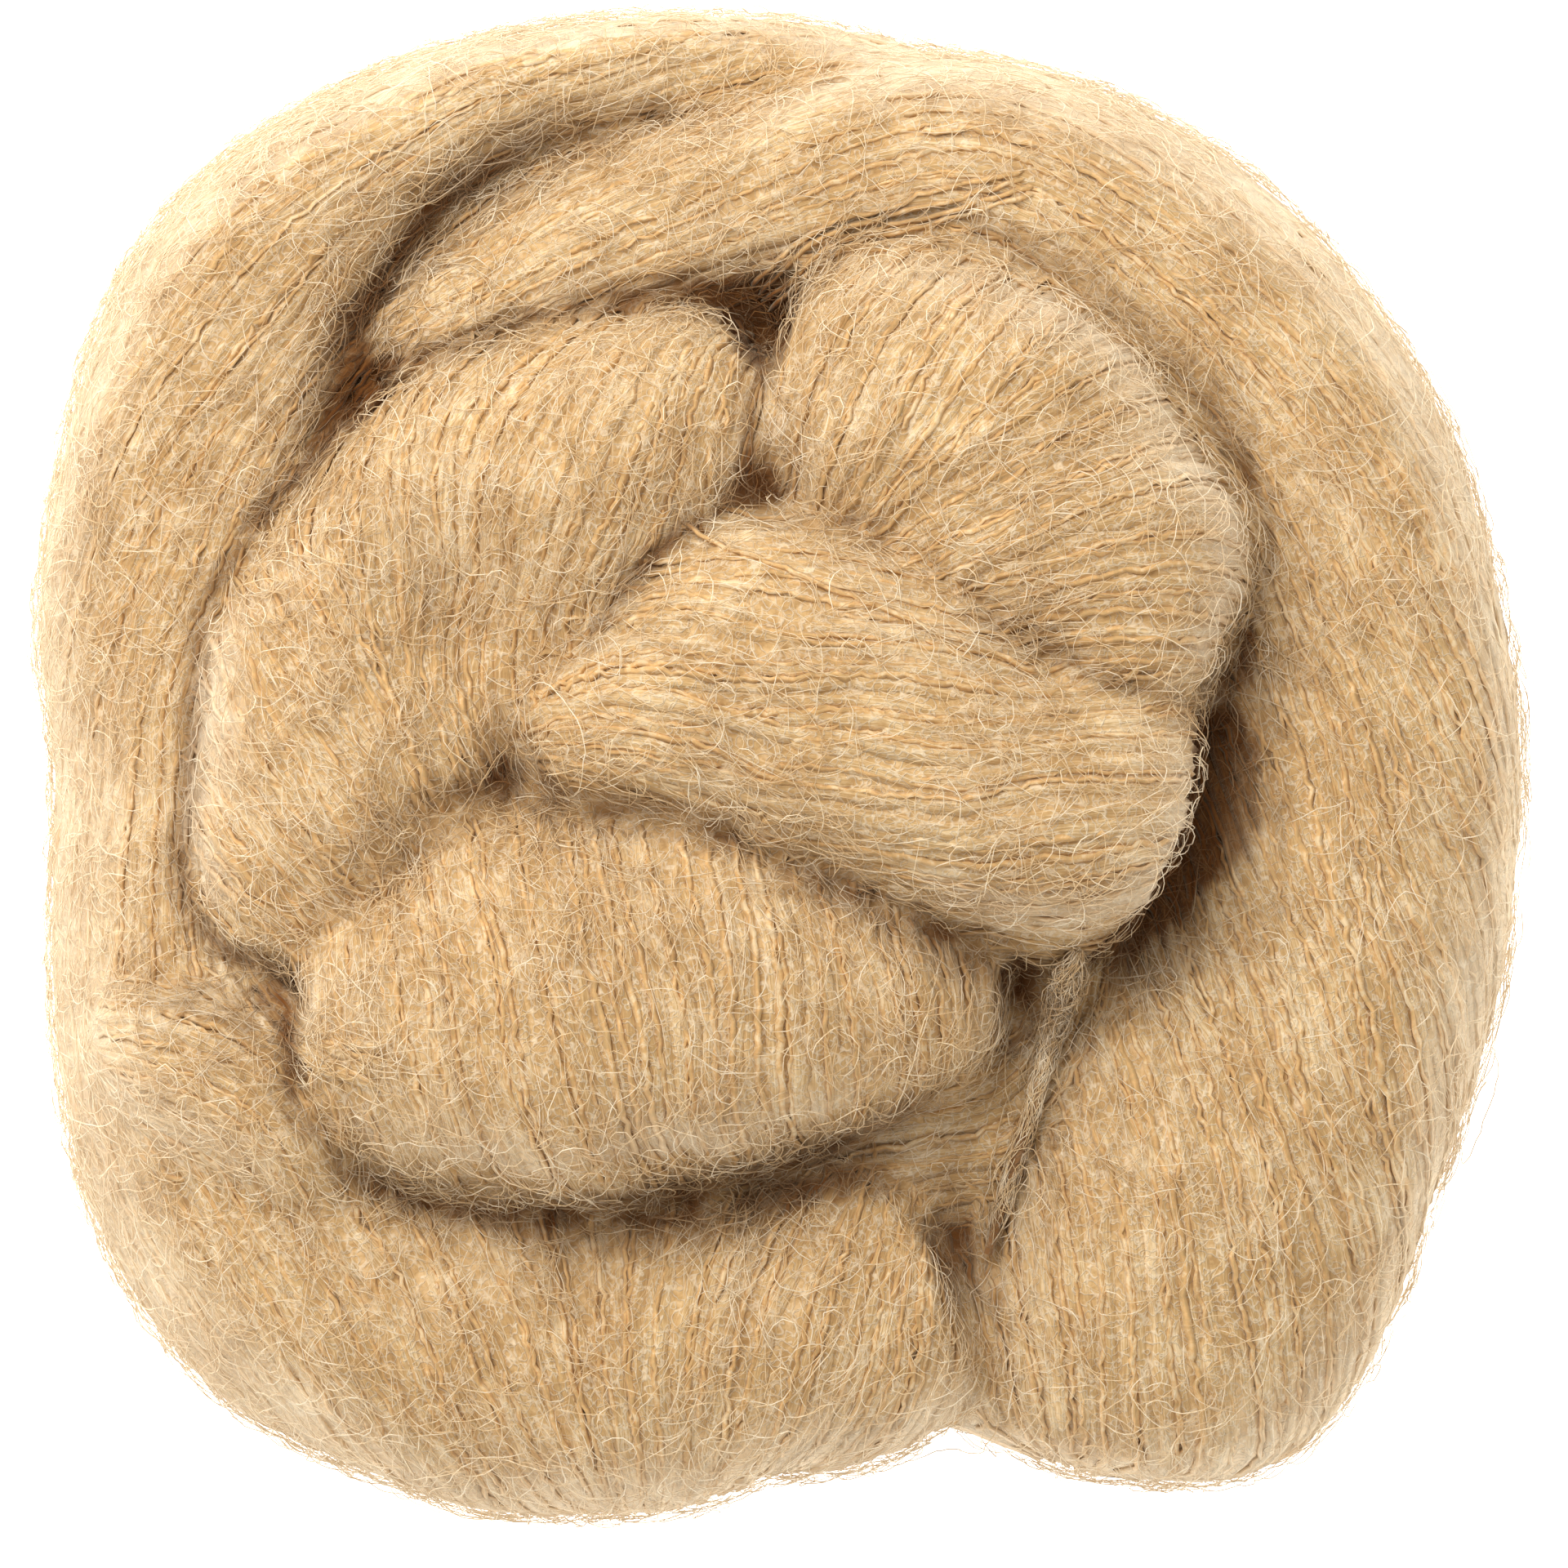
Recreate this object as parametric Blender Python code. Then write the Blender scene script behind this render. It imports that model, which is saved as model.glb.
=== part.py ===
"""A skein of brushed yarn: one long hank, twisted and coiled into a soft rounded nest that lies flat."""

import math

import bmesh
import bpy
from mathutils import Matrix, Vector, noise

MM = 0.001

# Driving sizes, in millimetres
STEP_ALONG = 4.2
POINTS_ROUND = 28
POINTS_ROUND_THIN = 14
CAP_LENGTH = 5.0
FULLNESS = 2.1
TWIST_HEIGHT = 0.55
RIDGES = 4
STEEPEST_TWIST = math.radians(60)
LUMP_HEIGHT = 0.8
LUMP_SIZE = 22.0
REST_CUT = 1.0
SAME_POINT = 0.05

# Every turn of the hank is a table, a row for each section along its middle:
# x, y and z of the middle, half its width, half its height, the way the yarn runs on top (degrees)
OUTER_LEFT_TURN = (
    (17.0, 69.0, 20.0, 3.5, 7.0, 172),
    (4.0, 70.6, 20.0, 5.0, 11.0, 188),
    (-12.0, 71.0, 20.5, 5.8, 14.0, 198),
    (-26.0, 68.2, 20.5, 6.8, 16.0, 204),
    (-37.5, 63.2, 20.2, 8.4, 17.8, 213),
    (-46.8, 56.4, 20.2, 10.6, 18.6, 223),
    (-53.0, 47.4, 20.0, 13.0, 18.9, 233),
    (-56.6, 37.8, 19.5, 14.9, 18.8, 239),
    (-58.4, 27.6, 19.0, 15.6, 18.5, 244),
    (-59.2, 15.0, 18.5, 15.6, 18.0, 248),
    (-57.6, 1.1, 18.0, 15.6, 17.5, 256),
    (-56.8, -11.8, 17.5, 17.2, 17.5, 270),
    (-55.0, -25.6, 17.5, 18.6, 17.5, 285),
    (-50.6, -38.0, 17.5, 20.2, 17.8, 296),
    (-43.0, -48.0, 17.8, 20.8, 18.2, 296),
    (-31.0, -54.4, 18.0, 20.0, 18.6, 288),
    (-17.8, -56.8, 18.0, 19.6, 18.8, 280),
    (-4.4, -54.8, 18.0, 18.0, 18.8, 256),
    (7.3, -52.0, 17.8, 17.8, 18.4, 258),
    (18.4, -48.0, 17.5, 15.6, 17.6, 260),
)
OUTER_RIGHT_TURN = (
    (-44.0, 38.6, 24.0, 4.0, 7.0, 30),
    (-33.0, 46.6, 22.6, 8.5, 12.5, 30),
    (-21.0, 52.2, 22.4, 11.5, 15.5, 28),
    (-7.6, 56.0, 21.8, 12.4, 17.0, 24),
    (6.2, 58.0, 21.0, 15.0, 18.0, 16),
    (20.2, 56.2, 20.0, 16.4, 18.3, -12),
    (33.2, 50.0, 19.5, 17.4, 18.3, -38),
    (43.2, 41.2, 19.0, 18.0, 18.3, -46),
    (50.8, 30.0, 18.7, 18.0, 18.2, -54),
    (55.2, 17.4, 18.5, 18.0, 18.2, -62),
    (56.8, 3.4, 18.5, 18.6, 18.2, -67),
    (54.4, -11.2, 18.5, 20.8, 18.2, -69),
    (49.4, -25.6, 18.2, 23.0, 18.2, -69),
    (42.6, -39.4, 17.8, 24.4, 17.8, -73),
    (37.4, -50.5, 17.0, 24.4, 17.2, -79),
    (33.0, -59.6, 15.6, 23.0, 15.0, -85),
    (30.4, -66.6, 14.2, 19.0, 11.5, -88),
    (29.2, -72.0, 13.4, 13.0, 8.0, -90),
)
LEFT_FOLD = (
    (0.3, 40.2, 30.0, 6.0, 9.0, 255),
    (-9.4, 35.0, 31.0, 13.0, 15.0, 252),
    (-20.0, 28.2, 31.5, 17.4, 17.5, 250),
    (-31.4, 19.7, 30.5, 18.6, 18.0, 272),
    (-40.2, 8.4, 29.5, 18.6, 18.0, 300),
    (-45.2, -4.0, 28.5, 15.6, 17.0, 308),
    (-49.0, -13.4, 27.0, 12.0, 14.0, 312),
    (-52.0, -21.0, 25.0, 6.0, 9.0, 315),
)
RIGHT_FOLD = (
    (-1.0, 36.6, 30.5, 10.0, 10.0, 250),
    (7.6, 36.0, 32.0, 17.0, 16.0, 245),
    (16.2, 34.4, 32.6, 19.0, 17.6, 232),
    (22.8, 29.2, 32.6, 18.8, 18.2, 212),
    (29.4, 22.4, 32.2, 18.2, 18.2, 196),
    (33.8, 16.4, 31.6, 16.4, 17.2, 184),
    (36.2, 9.6, 30.0, 8.0, 14.0, 178),
    (36.6, 3.0, 28.5, 4.5, 9.0, 178),
)
MIDDLE_FOLD = (
    (-26.0, -0.6, 38.0, 4.0, 7.0, -2),
    (-15.5, 5.2, 37.2, 10.8, 13.5, -4),
    (-2.5, 9.4, 36.8, 17.8, 17.0, -6),
    (10.0, 5.4, 36.6, 16.6, 18.2, -6),
    (20.0, -0.4, 36.0, 15.8, 18.2, 0),
    (27.6, -2.9, 34.8, 15.9, 17.4, 8),
    (33.6, -5.0, 32.6, 15.4, 15.2, 14),
    (37.8, -6.9, 30.2, 13.2, 11.0, 18),
)
LOWER_FOLD = (
    (-48.0, -27.0, 28.5, 10.0, 11.0, 286),
    (-38.0, -25.2, 30.5, 16.6, 16.5, 285),
    (-26.1, -23.0, 31.5, 21.0, 18.5, 283),
    (-14.4, -22.4, 32.0, 20.6, 19.0, 282),
    (-2.8, -22.0, 31.5, 18.0, 18.5, 280),
    (8.1, -22.8, 30.5, 14.0, 17.0, 278),
    (16.4, -24.2, 28.5, 9.5, 13.0, 276),
    (22.4, -25.4, 27.0, 6.0, 9.0, 276),
)
LEFT_LEDGE = (
    (-68.0, -25.0, 20.0, 6.0, 8.0, 345),
    (-58.5, -28.8, 26.2, 9.8, 11.8, 338),
    (-51.0, -33.0, 29.0, 10.4, 12.3, 315),
    (-47.0, -40.0, 27.5, 8.5, 10.5, 288),
    (-44.0, -47.0, 25.0, 5.0, 7.0, 285),
)
INNER_TURN_SOUTH = (
    (-44.0, 2.0, 15.5, 11.0, 12.5, 262),
    (-36.0, -17.0, 15.5, 17.5, 15.8, 300),
    (-17.0, -34.0, 15.5, 18.0, 16.0, 330),
    (6.0, -37.0, 15.5, 18.0, 16.0, 20),
    (27.0, -28.0, 15.5, 18.0, 16.0, 60),
    (37.0, -9.0, 15.5, 16.5, 15.5, 95),
    (38.0, 7.0, 15.5, 10.0, 12.0, 110),
)
INNER_TURN_NORTH = (
    (43.0, 2.0, 15.5, 11.0, 12.5, 80),
    (36.0, 21.0, 15.5, 16.5, 15.8, 115),
    (17.0, 37.0, 15.5, 18.0, 16.0, 150),
    (-6.0, 38.0, 15.5, 18.0, 16.0, 200),
    (-27.0, 30.0, 15.5, 18.0, 16.0, 240),
    (-38.0, 9.0, 15.5, 16.5, 15.5, 275),
    (-39.0, -8.0, 15.5, 10.0, 12.0, 290),
)
INNERMOST_TURN = (
    (-30.0, 7.0, 15.0, 13.0, 12.5, -20),
    (-12.0, 3.0, 15.0, 21.0, 15.8, -25),
    (12.0, -2.0, 15.0, 21.0, 15.8, -25),
    (30.0, -6.0, 15.0, 13.0, 12.5, -20),
)

# Soft hollows pressed into the folds: x, y, width and depth
HOLLOWS = (
    (-32.5, 15.5, 9.0, 7.0),
    (26.0, 9.5, 6.0, 2.0),
)

# The loose end of the yarn: points along its middle, from under the middle fold down into the cleft
YARN_END_DIAMETER = 1.8
YARN_END_ROUTE = (
    (29.2, -20.6, 37.4),
    (28.7, -22.4, 35.8),
    (28.2, -24.3, 34.2),
    (27.6, -26.2, 33.1),
    (27.1, -28.1, 32.7),
    (26.6, -30.1, 32.5),
    (26.0, -32.0, 32.3),
    (25.5, -34.0, 32.1),
    (25.0, -35.9, 31.7),
    (24.4, -37.8, 31.2),
    (23.8, -39.6, 30.7),
    (23.3, -41.5, 30.3),
    (22.7, -43.4, 30.1),
    (22.1, -45.2, 29.8),
    (21.6, -47.1, 29.5),
    (21.0, -49.0, 29.2),
)

YARN_COLOR = (0.60, 0.41, 0.21, 1.0)


def spline_row(rows, place):
    """The table's row at any place along it, on a smooth curve through its rows."""
    first = min(int(place), len(rows) - 2)
    part = place - first
    before = rows[max(first - 1, 0)]
    start = rows[first]
    end = rows[first + 1]
    after = rows[min(first + 2, len(rows) - 1)]
    found = []
    for a, b, c, d in zip(before, start, end, after):
        slope_in = (c - a) / 2
        slope_out = (d - b) / 2
        found.append(
            b * (2 * part**3 - 3 * part**2 + 1)
            + slope_in * (part**3 - 2 * part**2 + part)
            + c * (3 * part**2 - 2 * part**3)
            + slope_out * (part**3 - part**2)
        )
    return found


def even_sections(rows):
    """Sections about STEP_ALONG apart, each with its distance from the start."""
    fine = [spline_row(rows, k / 40) for k in range((len(rows) - 1) * 40 + 1)]
    lengths = [0.0]
    for a, b in zip(fine, fine[1:]):
        lengths.append(lengths[-1] + (Vector(b[:3]) - Vector(a[:3])).length)
    count = max(6, round(lengths[-1] / STEP_ALONG))
    sections = []
    k = 0
    for i in range(count + 1):
        wanted = lengths[-1] * i / count
        while k < len(lengths) - 2 and lengths[k + 1] < wanted:
            k += 1
        sections.append((wanted, fine[k]))
    return sections, lengths[-1]


def cap_share(distance, total):
    """How full a section is, less than 1 near either rounded end."""
    near = min(distance, total - distance)
    if near >= CAP_LENGTH:
        return 1.0
    return math.sqrt(max(0.0, 1 - (1 - near / CAP_LENGTH) ** 2))


def superellipse(angle):
    c = math.cos(angle)
    s = math.sin(angle)
    return (
        math.copysign(abs(c) ** (2 / FULLNESS), c),
        math.copysign(abs(s) ** (2 / FULLNESS), s),
    )


def hollowed(point):
    """The point lowered where it is on top of a hollow."""
    for x, y, width, depth in HOLLOWS:
        away = ((point.x - x) ** 2 + (point.y - y) ** 2) / width**2
        top = min(1.0, max(0.0, (point.z - 26) / 10))
        point.z -= depth * top * math.exp(-away)
    return point


def turn_mesh(name, rows):
    """One turn of the hank as a closed tube, its main twists raised as ridges that follow the yarn."""
    sections, total = even_sections(rows)
    widest = max(row[3] for row in rows)
    points_round = POINTS_ROUND if widest > 10 else POINTS_ROUND_THIN
    bm = bmesh.new()
    rings = []
    phase = 0.0
    for i, (distance, row) in enumerate(sections[1:-1], 1):
        x, y, z, half_width, half_height, yarn_way = row
        ahead = Vector(sections[i + 1][1][:3]) - Vector(sections[i - 1][1][:3])
        forward = ahead.normalized()
        side = Vector((0, 0, 1)).cross(forward).normalized()
        upward = forward.cross(side)
        heading = math.atan2(forward.y, forward.x)
        lean = (math.radians(yarn_way) - heading + math.pi / 2) % math.pi - math.pi / 2
        lean = min(STEEPEST_TWIST, max(-STEEPEST_TWIST, lean))
        phase += RIDGES * math.tan(lean) / max(half_width, 8.0) * ahead.length / 2
        share = cap_share(distance, total)
        ring = []
        for k in range(points_round):
            angle = 2 * math.pi * k / points_round
            across, up = superellipse(angle)
            ridge = TWIST_HEIGHT * math.cos(RIDGES * angle + phase)
            middle = Vector((x, y, z))
            spoke = side * across * half_width + upward * up * half_height
            lump = LUMP_HEIGHT * noise.noise((middle + spoke) / LUMP_SIZE)
            grown = spoke * share + spoke.normalized() * (ridge + lump) * share
            ring.append(bm.verts.new(hollowed(middle + grown) * MM))
        rings.append(ring)
    for ring, after in zip(rings, rings[1:]):
        for k in range(points_round):
            n = (k + 1) % points_round
            bm.faces.new((ring[k], ring[n], after[n], after[k]))
    for ring, row in ((rings[0], sections[0][1]), (rings[-1], sections[-1][1])):
        tip = bm.verts.new(Vector(row[:3]) * MM)
        for k in range(points_round):
            bm.faces.new((ring[k], ring[(k + 1) % points_round], tip))
    bmesh.ops.recalc_face_normals(bm, faces=bm.faces)
    mesh = bpy.data.meshes.new(name)
    bm.to_mesh(mesh)
    bm.free()
    return mesh


def helper(name, mesh, collection):
    obj = bpy.data.objects.new(name, mesh)
    collection.objects.link(obj)
    obj.hide_render = True
    obj.display_type = "WIRE"
    return obj


def yarn_material():
    material = bpy.data.materials.new("brushed_yarn")
    material.use_nodes = True
    shader = material.node_tree.nodes["Principled BSDF"]
    shader.inputs["Base Color"].default_value = YARN_COLOR
    shader.inputs["Roughness"].default_value = 0.95
    shader.inputs["Metallic"].default_value = 0.0
    return material


def keep_outer_skin(mesh):
    """Removes the closed pockets and slivers that are left between the turns inside the joined solid."""
    bm = bmesh.new()
    bm.from_mesh(mesh)
    bmesh.ops.triangulate(bm, faces=bm.faces)
    bmesh.ops.remove_doubles(bm, verts=bm.verts, dist=SAME_POINT * MM)
    unseen = set(bm.faces)
    skins = []
    while unseen:
        skin = [unseen.pop()]
        for face in skin:
            for edge in face.edges:
                if len(edge.link_faces) != 2:
                    continue
                for other in edge.link_faces:
                    if other in unseen:
                        unseen.remove(other)
                        skin.append(other)
        skins.append(skin)
    skins.sort(key=len)
    inner = [face for skin in skins[:-1] for face in skin]
    bmesh.ops.delete(bm, geom=inner, context="FACES")
    bm.to_mesh(mesh)
    bm.free()


def centre_over_origin(mesh):
    """Moves the mesh so that its box is centred in x and y and its flat rest is at zero height."""
    low = [min(vert.co[k] for vert in mesh.vertices) for k in range(3)]
    high = [max(vert.co[k] for vert in mesh.vertices) for k in range(3)]
    shift = Vector((-(low[0] + high[0]) / 2, -(low[1] + high[1]) / 2, -low[2]))
    mesh.transform(Matrix.Translation(shift))


def build_hank(scene):
    """The turns joined into one solid, cut flat where it rests."""
    turns = bpy.data.collections.new("turns")
    scene.collection.children.link(turns)
    for name, rows in (
        ("outer_right_turn", OUTER_RIGHT_TURN),
        ("left_fold", LEFT_FOLD),
        ("right_fold", RIGHT_FOLD),
        ("middle_fold", MIDDLE_FOLD),
        ("lower_fold", LOWER_FOLD),
        ("left_ledge", LEFT_LEDGE),
        ("inner_turn_south", INNER_TURN_SOUTH),
        ("inner_turn_north", INNER_TURN_NORTH),
        ("innermost_turn", INNERMOST_TURN),
    ):
        helper(name, turn_mesh(name, rows), turns)

    hank = bpy.data.objects.new("hank", turn_mesh("hank", OUTER_LEFT_TURN))
    scene.collection.objects.link(hank)
    join = hank.modifiers.new("join_turns", "BOOLEAN")
    join.operation = "UNION"
    join.solver = "EXACT"
    join.operand_type = "COLLECTION"
    join.collection = turns

    cutter = bpy.data.meshes.new("rest_cutter")
    bm = bmesh.new()
    bmesh.ops.create_cube(bm, size=1.0, matrix=Matrix.Diagonal((0.3, 0.3, 0.05, 1.0)))
    bmesh.ops.translate(bm, verts=bm.verts, vec=(0, 0, REST_CUT * MM - 0.025))
    bm.to_mesh(cutter)
    bm.free()
    flat = hank.modifiers.new("flat_rest", "BOOLEAN")
    flat.operation = "DIFFERENCE"
    flat.solver = "EXACT"
    flat.object = helper("rest_cutter", cutter, scene.collection)

    bpy.context.view_layer.update()
    joined = hank.evaluated_get(bpy.context.evaluated_depsgraph_get())
    hank.data = bpy.data.meshes.new_from_object(joined)
    hank.modifiers.clear()
    keep_outer_skin(hank.data)
    centre_over_origin(hank.data)
    hank.data.materials.append(yarn_material())
    for polygon in hank.data.polygons:
        polygon.use_smooth = True
    return hank


def build_yarn_end(scene, material):
    """The yarn's own loose end, a short thick thread with closed ends."""
    curve = bpy.data.curves.new("yarn_end", "CURVE")
    curve.dimensions = "3D"
    curve.bevel_depth = YARN_END_DIAMETER / 2 * MM
    curve.bevel_resolution = 2
    curve.use_fill_caps = True
    spline = curve.splines.new("POLY")
    spline.points.add(len(YARN_END_ROUTE) - 1)
    for point, (x, y, z) in zip(spline.points, YARN_END_ROUTE):
        point.co = (x * MM, y * MM, z * MM, 1)
    curve.materials.append(material)
    scene.collection.objects.link(bpy.data.objects.new("yarn_end", curve))


def main():
    for obj in list(bpy.data.objects):
        bpy.data.objects.remove(obj)
    scene = bpy.context.scene
    hank = build_hank(scene)
    build_yarn_end(scene, hank.data.materials[0])


main()
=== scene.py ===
import math
import random

import bmesh
import bpy
from mathutils import Matrix, Vector, kdtree, noise
from mathutils.bvhtree import BVHTree


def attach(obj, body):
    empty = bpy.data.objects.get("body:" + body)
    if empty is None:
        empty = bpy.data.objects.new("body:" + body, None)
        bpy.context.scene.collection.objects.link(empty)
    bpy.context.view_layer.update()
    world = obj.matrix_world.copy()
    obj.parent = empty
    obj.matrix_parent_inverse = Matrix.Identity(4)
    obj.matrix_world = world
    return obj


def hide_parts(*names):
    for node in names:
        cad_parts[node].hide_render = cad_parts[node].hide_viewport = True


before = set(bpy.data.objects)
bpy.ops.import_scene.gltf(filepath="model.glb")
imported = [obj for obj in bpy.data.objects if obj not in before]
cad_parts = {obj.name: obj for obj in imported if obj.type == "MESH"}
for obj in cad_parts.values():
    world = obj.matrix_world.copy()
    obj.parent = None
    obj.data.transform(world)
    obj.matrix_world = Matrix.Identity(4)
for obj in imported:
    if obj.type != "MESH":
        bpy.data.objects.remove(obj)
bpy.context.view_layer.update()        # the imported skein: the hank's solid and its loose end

mm = 0.001


# camera, floor and light

cameraLook = {
    "width": 160.0,  # what the picture takes in, mm
    "aimX": 0.4,
    "aimY": -1.5,
    "aimHeight": 18.0,
    "distance": 1200.0,
}


def makeCamera():
    camera = bpy.data.cameras.new("camera")
    camera.sensor_width = 36
    camera.lens = 36 * cameraLook["distance"] / cameraLook["width"]
    camera.clip_end = 20
    holder = bpy.data.objects.new("camera", camera)
    high = (cameraLook["distance"] + cameraLook["aimHeight"]) * mm
    holder.location = (cameraLook["aimX"] * mm, cameraLook["aimY"] * mm, high)
    bpy.context.scene.collection.objects.link(holder)
    bpy.context.scene.camera = holder


def toLinear(hexColor):
    channels = [int(hexColor[i:i + 2], 16) / 255 for i in (0, 2, 4)]
    return [c / 12.92 if c <= 0.04045 else ((c + 0.055) / 1.055) ** 2.4 for c in channels] + [1.0]


def addNode(tree, kind, settings=None, links=None):
    # a node with its settings: plain names are its own values, the rest are its sockets
    node = tree.nodes.new(kind)
    for name, value in (settings or {}).items():
        if isinstance(name, str) and hasattr(node, name):
            setattr(node, name, value)
        else:
            node.inputs[name].default_value = value
    for name, socket in (links or {}).items():
        tree.links.new(socket, node.inputs[name])
    return node


def newMaterial(name):
    material = bpy.data.materials.new(name)
    material.use_nodes = True
    material.node_tree.nodes.clear()
    return material, material.node_tree


def finishMaterial(tree, shader):
    out = addNode(tree, "ShaderNodeOutputMaterial")
    tree.links.new(shader.outputs[0], out.inputs["Surface"])


def setRamp(node, stops):
    ramp = node.color_ramp
    while len(ramp.elements) > len(stops):
        ramp.elements.remove(ramp.elements[-1])
    while len(ramp.elements) < len(stops):
        ramp.elements.new(1.0)
    for element, (position, color) in zip(ramp.elements, stops):
        element.position = position
        element.color = toLinear(color)


studio = {
    "floor": "f6f6f4",
    "floorGlow": 1.5,  # the table is lit from below too, so that it stays white round the yarn
    "sky": 0.7,
    "key": 4.1,
    "keySize": 0.45,
    "keyPlace": (-0.26, 0.34, 0.52),  # m
    "floorSize": 1.5,
}


def makeStudio():
    bpy.context.scene.view_settings.view_transform = "Standard"
    world = bpy.data.worlds.new("studio")
    world.use_nodes = True
    world.node_tree.nodes["Background"].inputs["Color"].default_value = (1, 1, 1, 1)
    world.node_tree.nodes["Background"].inputs["Strength"].default_value = studio["sky"]
    bpy.context.scene.world = world
    lamp = bpy.data.lights.new("keyLight", "AREA")
    lamp.energy = studio["key"]
    lamp.size = studio["keySize"]
    holder = bpy.data.objects.new("keyLight", lamp)
    holder.location = studio["keyPlace"]
    holder.rotation_euler = (-holder.location).to_track_quat("-Z", "Y").to_euler()
    bpy.context.scene.collection.objects.link(holder)
    material, tree = newMaterial("light_table_floor")  # white acrylic, lit from below
    shader = addNode(
        tree, "ShaderNodeBsdfPrincipled",
        {
            "Base Color": toLinear(studio["floor"]), "Roughness": 0.9,
            "Emission Color": (1, 1, 1, 1), "Emission Strength": studio["floorGlow"],
        },
    )
    finishMaterial(tree, shader)
    bm = bmesh.new()
    bmesh.ops.create_grid(bm, x_segments=1, y_segments=1, size=studio["floorSize"])
    mesh = bpy.data.meshes.new("floor")
    bm.to_mesh(mesh)
    bm.free()
    mesh.materials.append(material)
    floor = bpy.data.objects.new("floor", mesh)
    bpy.context.scene.collection.objects.link(floor)


makeCamera()
makeStudio()
print("camera, floor and lights are up")


# the turns of the hank

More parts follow.
